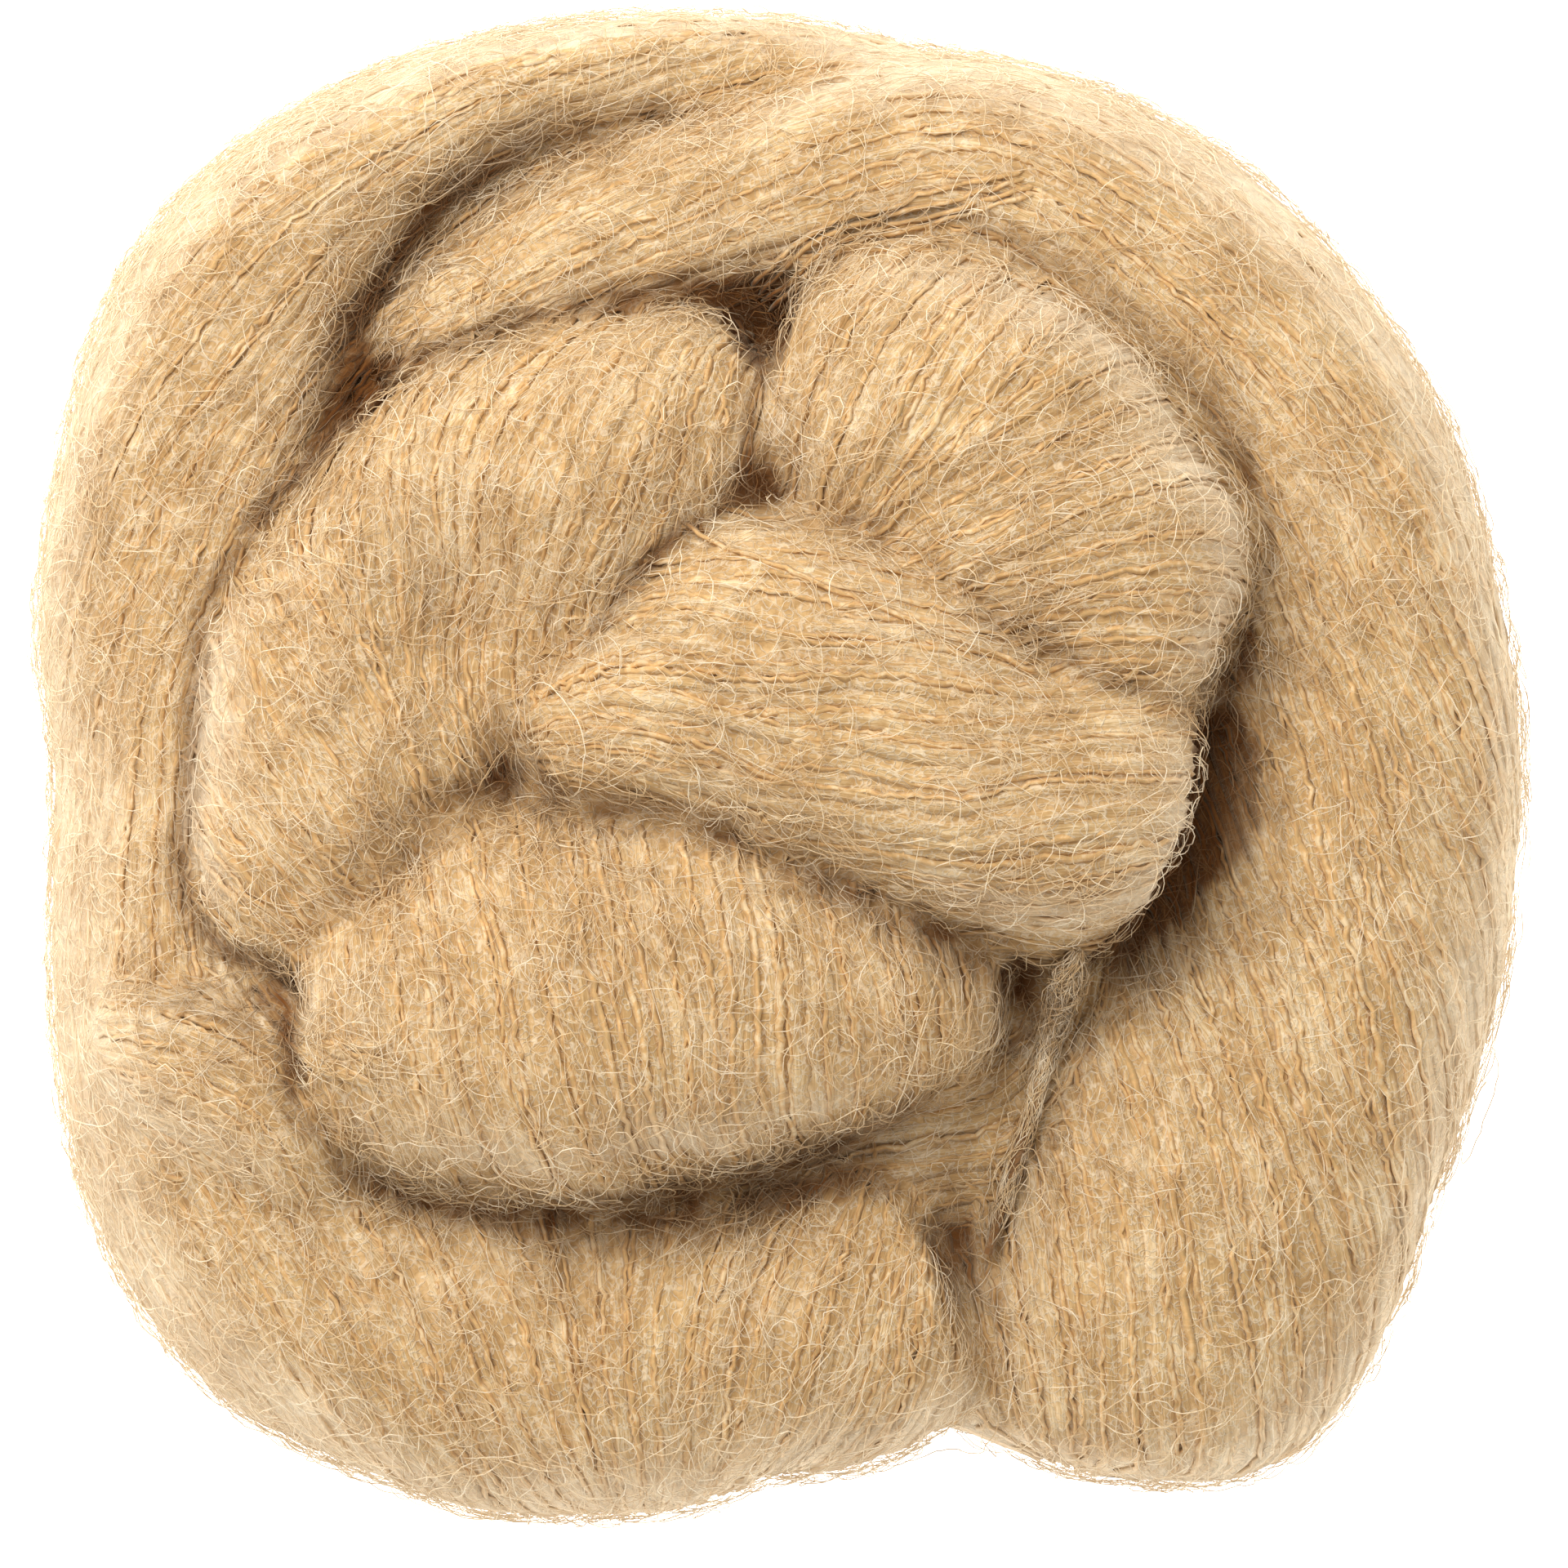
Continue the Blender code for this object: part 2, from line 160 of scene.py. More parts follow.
# The same turns as the solid: a row for each section along a turn's middle, in mm:
# x, y and z of the middle, half its width, half its height, and the way the yarn runs on top in degrees
turns = {
    "outerLeft": (
        (17.0, 69.0, 20.0, 3.5, 7.0, 172),
        (4.0, 70.6, 20.0, 5.0, 11.0, 188),
        (-12.0, 71.0, 20.5, 5.8, 14.0, 198),
        (-26.0, 68.2, 20.5, 6.8, 16.0, 204),
        (-37.5, 63.2, 20.2, 8.4, 17.8, 213),
        (-46.8, 56.4, 20.2, 10.6, 18.6, 223),
        (-53.0, 47.4, 20.0, 13.0, 18.9, 233),
        (-56.6, 37.8, 19.5, 14.9, 18.8, 239),
        (-58.4, 27.6, 19.0, 15.6, 18.5, 244),
        (-59.2, 15.0, 18.5, 15.6, 18.0, 248),
        (-57.6, 1.1, 18.0, 15.6, 17.5, 256),
        (-56.8, -11.8, 17.5, 17.2, 17.5, 270),
        (-55.0, -25.6, 17.5, 18.6, 17.5, 285),
        (-50.6, -38.0, 17.5, 20.2, 17.8, 296),
        (-43.0, -48.0, 17.8, 20.8, 18.2, 296),
        (-31.0, -54.4, 18.0, 20.0, 18.6, 288),
        (-17.8, -56.8, 18.0, 19.6, 18.8, 280),
        (-4.4, -54.8, 18.0, 18.0, 18.8, 256),
        (7.3, -52.0, 17.8, 17.8, 18.4, 258),
        (18.4, -48.0, 17.5, 15.6, 17.6, 260),
    ),
    "outerRight": (
        (-44.0, 38.6, 24.0, 4.0, 7.0, 30),
        (-33.0, 46.6, 22.6, 8.5, 12.5, 30),
        (-21.0, 52.2, 22.4, 11.5, 15.5, 28),
        (-7.6, 56.0, 21.8, 12.4, 17.0, 24),
        (6.2, 58.0, 21.0, 15.0, 18.0, 16),
        (20.2, 56.2, 20.0, 16.4, 18.3, -12),
        (33.2, 50.0, 19.5, 17.4, 18.3, -38),
        (43.2, 41.2, 19.0, 18.0, 18.3, -46),
        (50.8, 30.0, 18.7, 18.0, 18.2, -54),
        (55.2, 17.4, 18.5, 18.0, 18.2, -62),
        (56.8, 3.4, 18.5, 18.6, 18.2, -67),
        (54.4, -11.2, 18.5, 20.8, 18.2, -69),
        (49.4, -25.6, 18.2, 23.0, 18.2, -69),
        (42.6, -39.4, 17.8, 24.4, 17.8, -73),
        (37.4, -50.5, 17.0, 24.4, 17.2, -79),
        (33.0, -59.6, 15.6, 23.0, 15.0, -85),
        (30.4, -66.6, 14.2, 19.0, 11.5, -88),
        (29.2, -72.0, 13.4, 13.0, 8.0, -90),
    ),
    "leftFold": (
        (0.3, 40.2, 30.0, 6.0, 9.0, 255),
        (-9.4, 35.0, 31.0, 13.0, 15.0, 252),
        (-20.0, 28.2, 31.5, 17.4, 17.5, 250),
        (-31.4, 19.7, 30.5, 18.6, 18.0, 272),
        (-40.2, 8.4, 29.5, 18.6, 18.0, 300),
        (-45.2, -4.0, 28.5, 15.6, 17.0, 308),
        (-49.0, -13.4, 27.0, 12.0, 14.0, 312),
        (-52.0, -21.0, 25.0, 6.0, 9.0, 315),
    ),
    "rightFold": (
        (-1.0, 36.6, 30.5, 10.0, 10.0, 250),
        (7.6, 36.0, 32.0, 17.0, 16.0, 245),
        (16.2, 34.4, 32.6, 19.0, 17.6, 232),
        (22.8, 29.2, 32.6, 18.8, 18.2, 212),
        (29.4, 22.4, 32.2, 18.2, 18.2, 196),
        (33.8, 16.4, 31.6, 16.4, 17.2, 184),
        (36.2, 9.6, 30.0, 8.0, 14.0, 178),
        (36.6, 3.0, 28.5, 4.5, 9.0, 178),
    ),
    "middleFold": (
        (-26.0, -0.6, 38.0, 4.0, 7.0, -2),
        (-15.5, 5.2, 37.2, 10.8, 13.5, -4),
        (-2.5, 9.4, 36.8, 17.8, 17.0, -6),
        (10.0, 5.4, 36.6, 16.6, 18.2, -6),
        (20.0, -0.4, 36.0, 15.8, 18.2, 0),
        (27.6, -2.9, 34.8, 15.9, 17.4, 8),
        (33.6, -5.0, 32.6, 15.4, 15.2, 14),
        (37.8, -6.9, 30.2, 13.2, 11.0, 18),
    ),
    "lowerFold": (
        (-48.0, -27.0, 28.5, 10.0, 11.0, 286),
        (-38.0, -25.2, 30.5, 16.6, 16.5, 285),
        (-26.1, -23.0, 31.5, 21.0, 18.5, 283),
        (-14.4, -22.4, 32.0, 20.6, 19.0, 282),
        (-2.8, -22.0, 31.5, 18.0, 18.5, 280),
        (8.1, -22.8, 30.5, 14.0, 17.0, 278),
        (16.4, -24.2, 28.5, 9.5, 13.0, 276),
        (22.4, -25.4, 27.0, 6.0, 9.0, 276),
    ),
    "leftLedge": (
        (-68.0, -25.0, 20.0, 6.0, 8.0, 345),
        (-58.5, -28.8, 26.2, 9.8, 11.8, 338),
        (-51.0, -33.0, 29.0, 10.4, 12.3, 315),
        (-47.0, -40.0, 27.5, 8.5, 10.5, 288),
        (-44.0, -47.0, 25.0, 5.0, 7.0, 285),
    ),
    "innerSouth": (
        (-44.0, 2.0, 15.5, 11.0, 12.5, 262),
        (-36.0, -17.0, 15.5, 17.5, 15.8, 300),
        (-17.0, -34.0, 15.5, 18.0, 16.0, 330),
        (6.0, -37.0, 15.5, 18.0, 16.0, 20),
        (27.0, -28.0, 15.5, 18.0, 16.0, 60),
        (37.0, -9.0, 15.5, 16.5, 15.5, 95),
        (38.0, 7.0, 15.5, 10.0, 12.0, 110),
    ),
    "innerNorth": (
        (43.0, 2.0, 15.5, 11.0, 12.5, 80),
        (36.0, 21.0, 15.5, 16.5, 15.8, 115),
        (17.0, 37.0, 15.5, 18.0, 16.0, 150),
        (-6.0, 38.0, 15.5, 18.0, 16.0, 200),
        (-27.0, 30.0, 15.5, 18.0, 16.0, 240),
        (-38.0, 9.0, 15.5, 16.5, 15.5, 275),
        (-39.0, -8.0, 15.5, 10.0, 12.0, 290),
    ),
    "innermost": (
        (-30.0, 7.0, 15.0, 13.0, 12.5, -20),
        (-12.0, 3.0, 15.0, 21.0, 15.8, -25),
        (12.0, -2.0, 15.0, 21.0, 15.8, -25),
        (30.0, -6.0, 15.0, 13.0, 12.5, -20),
    ),
}

turnShape = {
    "fullness": 2.1,  # of a turn's section: 2 is an ellipse, more is squarer
    "capLength": 5.0,  # how long a turn's rounded ends are, mm
    "stationStep": 1.0,  # mm from one section to the next
    "fineness": 60,  # places looked at between two rows of a turn's table
    "shift": Vector((-0.17, -0.1, -1.0)),  # from the tables' zero to the hank's own middle and rest
}


def splineRow(rows, place):
    # the values between two rows of a table, on a smooth curve through all of them
    first = min(int(place), len(rows) - 2)
    part = place - first
    before = rows[max(first - 1, 0)]
    after = rows[min(first + 2, len(rows) - 1)]
    found = []
    for a, b, c, d in zip(before, rows[first], rows[first + 1], after):
        found.append(
            b * (2 * part**3 - 3 * part**2 + 1)
            + (c - a) / 2 * (part**3 - 2 * part**2 + part)
            + c * (3 * part**2 - 2 * part**3)
            + (d - b) / 2 * (part**3 - part**2)
        )
    return found


def stationsOf(rows):
    # close sections along a turn, each with its middle, its two directions, its half sizes and its lean
    parts = turnShape["fineness"]
    fine = [splineRow(rows, k / parts) for k in range((len(rows) - 1) * parts + 1)]
    reach = [0.0]
    for a, b in zip(fine, fine[1:]):
        reach.append(reach[-1] + (Vector(b[:3]) - Vector(a[:3])).length)
    count = round(reach[-1] / turnShape["stationStep"])
    picked = []
    k = 0
    for i in range(count + 1):
        wanted = reach[-1] * i / count
        while k < len(reach) - 2 and reach[k + 1] < wanted:
            k += 1
        picked.append(fine[k])
    stations = []
    for i, row in enumerate(picked):
        ahead = Vector(picked[min(i + 2, count)][:3]) - Vector(picked[max(i - 2, 0)][:3])
        forward = ahead.normalized()
        side = Vector((0, 0, 1)).cross(forward).normalized()
        heading = math.atan2(forward.y, forward.x)
        lean = (math.radians(row[5]) - heading + math.pi / 2) % math.pi - math.pi / 2
        if stations and abs(lean - stations[-1][5]) > math.pi / 2:
            lean += math.copysign(math.pi, stations[-1][5] - lean)
        near = min(i, count - i) * reach[-1] / count / turnShape["capLength"]
        share = 1.0 if near >= 1 else math.sqrt(max(0.0, 1 - (1 - near) ** 2))
        middle = Vector(row[:3]) + turnShape["shift"]
        stations.append((middle, side, forward.cross(side), row[3] * share, row[4] * share, lean))
    return stations


def onTurn(stations, along, angle):
    # the place on a turn's surface, in mm, with the yarn's lean there
    along = min(max(along, 0.0), len(stations) - 1.001)
    i = int(along)
    part = along - i
    a, b = stations[i], stations[i + 1]
    c, s = math.cos(angle), math.sin(angle)
    power = 2 / turnShape["fullness"]
    across = math.copysign(abs(c) ** power, c)
    up = math.copysign(abs(s) ** power, s)
    here = a[0] + a[1] * (across * a[3]) + a[2] * (up * a[4])
    there = b[0] + b[1] * (across * b[3]) + b[2] * (up * b[4])
    return here.lerp(there, part), a[5] + (b[5] - a[5]) * part


# the felted mass under the strands

massLook = {
    "voxel": 1.6,  # mm
    "smoothing": 5,  # rounds
    "sunk": 0.35,  # how far the mass lies under the hank's outer skin, mm
    "unevenness": 0.25,  # mm
    "lump": 1.9,  # size of its uneven places, mm
}


def keepAsMesh(holder, name):
    # the object with its modifiers applied, as a new plain object
    bpy.context.view_layer.update()
    made = holder.evaluated_get(bpy.context.evaluated_depsgraph_get())
    mesh = bpy.data.meshes.new_from_object(made)
    mesh.name = name
    materials = list(holder.data.materials)
    bpy.data.objects.remove(holder)
    for polygon in mesh.polygons:
        polygon.use_smooth = True
    if materials and not mesh.materials:
        mesh.materials.append(materials[0])
    piece = bpy.data.objects.new(name, mesh)
    bpy.context.scene.collection.objects.link(piece)
    return piece


def makeMass():
    bm = bmesh.new()
    bm.from_mesh(bpy.data.objects["hank"].data)
    bmesh.ops.remove_doubles(bm, verts=bm.verts, dist=1e-6)
    mesh = bpy.data.meshes.new("yarn_mass")
    bm.to_mesh(mesh)
    bm.free()
    holder = bpy.data.objects.new("mass_form", mesh)
    bpy.context.scene.collection.objects.link(holder)
    remesh = holder.modifiers.new("remesh", "REMESH")
    remesh.mode = "VOXEL"
    remesh.voxel_size = massLook["voxel"] * mm
    smooth = holder.modifiers.new("smooth", "SMOOTH")
    smooth.factor = 0.5
    smooth.iterations = massLook["smoothing"]
    piece = keepAsMesh(holder, "yarn_mass")
    skin = BVHTree.FromPolygons(
        [v.co / mm for v in piece.data.vertices], [p.vertices[:] for p in piece.data.polygons]
    )
    normals = [v.normal.copy() for v in piece.data.vertices]
    for vert, normal in zip(piece.data.vertices, normals):
        rough = noise.noise(vert.co / mm / massLook["lump"]) * massLook["unevenness"]
        vert.co -= normal * (massLook["sunk"] + rough) * mm
    return piece, skin


mass, skin = makeMass()


# painted shade along the lines where one fold presses into the next, seen from above:
# half the breadth in mm, how dark, and the line's points in mm
creaseShadeLines = (
    (1.7, 0.3, ((-38.2, 54.1), (-42.5, 45.5), (-43.8, 39.3), (-46.8, 30.6), (-51.2, 26.4), (-54.8, 21.4),
                (-57.3, 16.5), (-58.3, 11.0), (-59.1, -1.5), (-60.1, -11.1), (-56.4, -17.5), (-49.2, -19.4))),
    (1.7, 0.22, ((-21.6, 66.5), (-28.3, 62.7), (-34.5, 58.4), (-38.2, 53.5), (-41.3, 46.7), (-43.2, 41.1))),
    (1.6, 0.25, ((-43.2, 39.9), (-37.6, 41.1), (-31.4, 42.4), (-25.3, 44.9), (-19.1, 45.8), (-12.9, 47.0),
                (-1.2, 47.7))),
    (1.6, 0.15, ((2.0, 44.9), (7.6, 53.5), (16.4, 55.1), (24.4, 52.0), (32.4, 47.1), (40.4, 39.3),
                 (47.5, 29.3), (49.1, 24.1), (47.5, 16.8), (44.2, 7.7), (41.7, -1.9), (39.6, -8.6),
                 (32.9, -16.9), (26.8, -19.9))),
    (1.8, 0.25, ((-48.4, -31.9), (-46.8, -36.7), (-42.8, -40.7), (-34.8, -43.9), (-25.2, -44.7),
                 (-12.4, -42.8), (0.4, -39.5), (10.0, -35.5), (16.4, -31.9))),
    (1.8, 0.12, ((24.4, -23.9), (22.8, -30.4), (18.3, -36.7), (17.5, -43.1), (16.9, -49.5), (15.8, -56.5))),
    (1.5, 0.28, ((-2.8, 38.5), (-4.4, 27.3), (-10.8, 22.5), (-15.6, 16.1), (-20.4, 11.3))),
    (1.5, 0.18, ((16.4, 16.1), (24.4, 12.9), (32.4, 8.9), (38.8, 8.1))),
    (1.5, 0.1, ((-20.4, -1.5), (-10.8, -3.9), (0.4, -8.7), (10.0, -14.3), (18.0, -17.5), (24.4, -19.1))),
    (1.5, 0.22, ((-46.3, -15.9), (-41.2, -6.3), (-34.8, -2.4), (-26.8, -0.7))),
    (1.8, 0.38, ((-49.2, -20.5), (-48.8, -24.5), (-48.9, -29.0), (-48.2, -33.5), (-46.2, -37.8))),
    (6.0, 0.17, ((-65.0, -22.5), (-60.5, -24.5), (-56.0, -27.5), (-54.0, -32.0))),
)


airLook = {
    "rays": 18,  # up to the sky, spread evenly
    "lowest": 0.1,  # how far the last of them rises
    "aside": 0.15,  # the least that a ray counts, also one that leaves into the wool
    "reach": 45.0,  # how far a ray goes, mm
    "levelRays": 8,
    "levelTurn": 0.7854,  # an eighth of a turn, in radians
    "levelReach": 60.0,
    # rays to the side that rise or fall a little, and how much each kind counts for the painted glow on an
    # open edge
    "levels": ((Vector((0, 0, 0.12)), 0.1), (Vector((0, 0, -0.3)), 0.9)),
    "off": 0.8,  # how far off the skin they start, mm
    "creased": 22.0,  # only what lies higher than this gets the creases' painted shade, mm
    "creaseParts": 12,  # points between two of a crease's own
    "creaseEnd": 0.3,  # how dark a crease's painted shade is at its ends, as a share
    "edgeFrom": 8.0,  # the painted glow on an open edge comes in from this height, mm
    "edgeOver": 14.0,  # and over this much
}


def creasePoints():
    # close points along the creases, to find the nearest one quickly
    found = []
    parts = airLook["creaseParts"]
    for breadth, depth, line in creaseShadeLines:
        last = (len(line) - 1) * parts
        for k in range(last + 1):
            x, y = splineRow(line, k / parts)
            end = min(k, last - k) / parts  # it fades at both ends
            found.append((Vector((x, y, 0)), breadth, depth * min(1.0, airLook["creaseEnd"] + end)))
    tree = kdtree.KDTree(len(found))
    for i, (place, _, _) in enumerate(found):
        tree.insert(place, i)
    tree.balance()
    return tree, found


def raysAround(high):
    # rays that go round evenly, each as high as its number says
    golden = 2.39996
    found = []
    for k, up in enumerate(high):
        wide = math.sqrt(1 - up * up)
        found.append(Vector((wide * math.cos(k * golden), wide * math.sin(k * golden), up)))
    return found


def shareOfAir(start, normal, rays):
    seen = total = 0.0
    for ray in rays:
        weight = max(airLook["aside"], ray.dot(normal))
        total += weight
        if skin.ray_cast(start, ray, airLook["reach"])[0] is None:
            seen += weight
    return seen / total


def opennessAt(start, normal, upward, downward):
    # the underside looks at the air below it, and the sides at some of each
    turned = min(1.0, max(0.0, (0.1 - normal.z) / 0.5))
    openness = 0.0
    if turned < 1:
        openness += (1 - turned) * shareOfAir(start, normal, upward)
    if turned > 0:
        openness += turned * shareOfAir(start, normal, downward)
    return openness


def edgeAt(start, normal, level):
    # how far a place is an open edge, which sets its painted glow
    side = beside = 0.0
    for ray in level:
        weight = max(0.0, ray.dot(normal))
        beside += weight
        for tilt, counts in airLook["levels"]:
            if weight and skin.ray_cast(start, ray + tilt, airLook["levelReach"])[0] is None:
                side += weight * counts
    return (1 - max(0.0, normal.z)) * side / max(beside, 0.1)


def measureAir():
    # for each place on the skin, how much of the air above it sees: little in a crevice, all on a crest,
    # which sets the painted shade; and how far it is an open edge, which sets a painted glow of light through
    # the outer hairs
    count = airLook["rays"]
    upward = raysAround([1 - (k + 0.5) / count * (1 - airLook["lowest"]) for k in range(count)])
    downward = [Vector((ray.x, ray.y, -ray.z)) for ray in upward]
    angles = [k * airLook["levelTurn"] for k in range(airLook["levelRays"])]
    level = [Vector((math.cos(angle), math.sin(angle), 0)) for angle in angles]
    tree = kdtree.KDTree(len(mass.data.vertices))
    creaseTree, creaseLooks = creasePoints()
    shares = []
    for i, vert in enumerate(mass.data.vertices):
        place = vert.co / mm
        tree.insert(place, i)
        on, normal, _, _ = skin.find_nearest(place)
        start = on + normal * airLook["off"]
        openness = opennessAt(start, normal, upward, downward)
        # painted shade: darker along the creases drawn from above
        if place.z > airLook["creased"]:
            _, nearest, away = creaseTree.find(Vector((place.x, place.y, 0)))
            _, breadth, depth = creaseLooks[nearest]
            openness *= 1 - depth * math.exp(-((away / breadth) ** 2))
        # the painted glow comes in only above a certain height
        raised = min(1.0, max(0.0, (place.z - airLook["edgeFrom"]) / airLook["edgeOver"]))
        shares.append((openness, edgeAt(start, normal, level) * raised))
    tree.balance()
    return tree, shares


airTree, airShares = measureAir()
print("mass:", len(mass.data.polygons), "faces")


def paintAir(piece):
    # each point takes the painted shade and painted glow shares of the nearest place on the mass
    found = [airShares[airTree.find(vert.co / mm)[1]] for vert in piece.data.vertices]
    for k, name in enumerate(("openness", "edge")):
        values = piece.data.attributes.new(name, "FLOAT", "POINT").data
        values.foreach_set("value", [pair[k] for pair in found])


def putOn(piece):
    # rides on the hank's body in its yarn, with painted shade in the crevices and a painted glow on the open
    # edges
    paintAir(piece)
    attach(piece, "root")
    print(piece.name, sum(len(p.vertices) - 2 for p in piece.data.polygons), "triangles")


# wool

yarnColors = {
    # painted shade: the tone that crevices and the loose end's lower part darken towards
    "creviceShade": "85633f",
    "deep": "b6905e",
    "shade": "cba671",
    "body": "dcba8a",
    "golden": "dcb075",
    "light": "eacea1",
    "fibre": "f7e6c8",
    # painted glow: the pale tone that open edges lighten towards
    "edge": "f9ead0",
    "sheen": "f2dcb8",
}

woolLook = {
    "fleck": 1.1,  # size of the lighter and darker flecks, mm
    "patch": 8.0,  # size of the fluffier, paler patches, mm
    "hairLength": 3.2,  # how long and how broad the hairs drawn along a sliver are, mm
    "hairBreadth": 0.17,
    "curls": ((1.7, 0.03), (1.0, 0.05)),  # how wide drawn loose hairs curl in mm, and their breadth
    "hairShare": 0.6,  # how far a drawn hair goes towards its own tone
    "edgeShare": 0.55,  # how far the open edges go towards their painted glow tone
    "creviceShadeRange": (0.5, 0.96),  # openness where the painted shade is darkest, and from which on nothing is darkened
    # the edge share where the painted glow starts and where it is full
    "edges": (0.08, 0.6),
    "endShadeSpan": (-38.0, -21.0, 0.1),  # along y the painted shade comes onto the loose end, in mm, and what is left of its own tone
    "combShare": 0.7,  # how much of a sliver's grain runs along it
    "paler": 0.07,
    "rampStops": (0.36, 0.5, 0.64),
    "roughness": 0.92,
    "specular": 0.2,
    "sheenRoughness": 0.5,
    "bumpStrength": 0.7,
    "bump": 0.12,  # mm
}


def hairLines(tree, place, curl, breadth):
    # hairs too fine to model, drawn as the contour lines of a soft noise
    field = addNode(
        tree, "ShaderNodeTexNoise",
        {"Scale": 1 / (curl * mm), "Detail": 0.6, "Roughness": 0.6}, {"Vector": place},
    )
    away = addNode(tree, "ShaderNodeMath", {"operation": "SUBTRACT", 1: 0.5}, {0: field.outputs["Fac"]})
    distance = addNode(tree, "ShaderNodeMath", {"operation": "ABSOLUTE"}, {0: away.outputs[0]})
    line = addNode(
        tree, "ShaderNodeMapRange", {"From Min": breadth, "From Max": 0.0}, {"Value": distance.outputs[0]}
    )
    return line.outputs["Result"]


def mathNode(tree, operation, a, b):
    # a and b: each a socket or a plain number
    settings, links = {"operation": operation}, {}
    for i, value in enumerate((a, b)):
        (settings if isinstance(value, float) else links)[i] = value
    return addNode(tree, "ShaderNodeMath", settings, links).outputs[0]


def mixColors(tree, share, first, second, blend="MIX"):
    # share, first and second: each a socket or a plain value
    settings, links = {"data_type": "RGBA", "blend_type": blend}, {}
    for socket, value in ((0, share), (6, first), (7, second)):
        (settings if isinstance(value, (float, list)) else links)[socket] = value
    return addNode(tree, "ShaderNodeMix", settings, links).outputs[2]


def smoothStep(tree, value, low, high, least=0.0, most=1.0):
    return addNode(
        tree, "ShaderNodeMapRange",
        {
            "interpolation_type": "SMOOTHSTEP", "From Min": low, "From Max": high,
            "To Min": least, "To Max": most,
        },
        {"Value": value},
    ).outputs["Result"]


def attributeOf(tree, name):
    return addNode(tree, "ShaderNodeAttribute", {"attribute_name": name})


def woolGrain(tree, place, variety, combed):
    # flecks, with streaks along a combed sliver, and a tone of its own for each strand or fibre
    spots = addNode(
        tree, "ShaderNodeTexNoise",
        {"Scale": 1 / (woolLook["fleck"] * mm), "Detail": 3.0, "Roughness": 0.65}, {"Vector": place},
    )
    grain = spots.outputs["Fac"]
    if combed:
        streaks = addNode(
            tree, "ShaderNodeTexNoise", {"Scale": 1.0, "Detail": 2.0, "Roughness": 0.6, "Distortion": 0.35},
            {"Vector": attributeOf(tree, "comb").outputs["Vector"]},
        )
        grain = addNode(
            tree, "ShaderNodeMix", {"data_type": "FLOAT", 0: woolLook["combShare"]},
            {2: spots.outputs["Fac"], 3: streaks.outputs["Fac"]},
        ).outputs[0]
    geometry = addNode(tree, "ShaderNodeNewGeometry")
    own = addNode(
        tree, "ShaderNodeMapRange", {"To Min": -variety, "To Max": variety},
        {"Value": geometry.outputs["Random Per Island"]},
    )
    patches = addNode(
        tree, "ShaderNodeTexNoise", {"Scale": 1 / (woolLook["patch"] * mm), "Detail": 1.0}, {"Vector": place}
    )
    paler = addNode(
        tree, "ShaderNodeMapRange",
        {"From Min": 0.3, "From Max": 0.7, "To Min": -woolLook["paler"], "To Max": woolLook["paler"]},
        {"Value": patches.outputs["Fac"]},
    )
    tone = mathNode(tree, "ADD", grain, own.outputs["Result"])
    return grain, mathNode(tree, "ADD", tone, paler.outputs["Result"])


def drawnWeb(tree, place):
    lines = [hairLines(tree, place, curl, breadth) for curl, breadth in woolLook["curls"]]
    return mathNode(tree, "MAXIMUM", *lines)


def woolMaterial(name, tones, variety, sheen, combed=False, drawnHairs=False, shadeAlongEnd=False):
    # brushed alpaca-like wool: matte, a web of fine hairs, and a soft glow of them at a glancing view;
    # painted shade in the crevices and a painted glow on the open edges
    material, tree = newMaterial(name)
    place = addNode(tree, "ShaderNodeTexCoord").outputs["Object"]
    grain, tone = woolGrain(tree, place, variety, combed)
    ramp = addNode(tree, "ShaderNodeValToRGB", None, {"Fac": tone})
    setRamp(ramp, [(at, yarnColors[name]) for at, name in zip(woolLook["rampStops"], tones)])
    color, height = ramp.outputs["Color"], grain
    if drawnHairs:
        web = drawnWeb(tree, place)
        share = addNode(tree, "ShaderNodeMapRange", {"To Max": woolLook["hairShare"]}, {"Value": web})
        color = mixColors(tree, share.outputs["Result"], color, toLinear(yarnColors["fibre"]))
        height = mathNode(tree, "ADD", web, mathNode(tree, "MULTIPLY", grain, 2.0))
    if shadeAlongEnd:
        # painted shade: the loose end darkens as it goes down into the cleft
        low, high, least = woolLook["endShadeSpan"]
        parted = addNode(tree, "ShaderNodeSeparateXYZ", None, {"Vector": place})
        unshaded = smoothStep(tree, parted.outputs["Y"], low * mm, high * mm, least)
    else:
        # painted shade: darker towards the crevice tone where the place sees little of the sky
        unshaded = smoothStep(tree, attributeOf(tree, "openness").outputs["Fac"], *woolLook["creviceShadeRange"])
    shadeTone = mixColors(tree, unshaded, toLinear(yarnColors["creviceShade"]), toLinear("ffffff"))
    color = mixColors(tree, 1.0, color, shadeTone, "MULTIPLY")
    if not shadeAlongEnd:
        # painted glow: open edges lighten towards a pale tone
        rim = attributeOf(tree, "edge").outputs["Fac"]
        glow = smoothStep(tree, rim, *woolLook["edges"], most=woolLook["edgeShare"])
        color = mixColors(tree, glow, color, toLinear(yarnColors["edge"]))
    shader = addNode(
        tree, "ShaderNodeBsdfPrincipled",
        {
            "Roughness": woolLook["roughness"], "Specular IOR Level": woolLook["specular"],
            "Sheen Weight": sheen, "Sheen Roughness": woolLook["sheenRoughness"],
            "Sheen Tint": toLinear(yarnColors["sheen"]),
        },
        {"Base Color": color},
    )
    if drawnHairs or combed:
        bump = addNode(
            tree, "ShaderNodeBump",
            {"Strength": woolLook["bumpStrength"], "Distance": woolLook["bump"] * mm}, {"Height": height},
        )
        tree.links.new(bump.outputs["Normal"], shader.inputs["Normal"])
    finishMaterial(tree, shader)
    return material


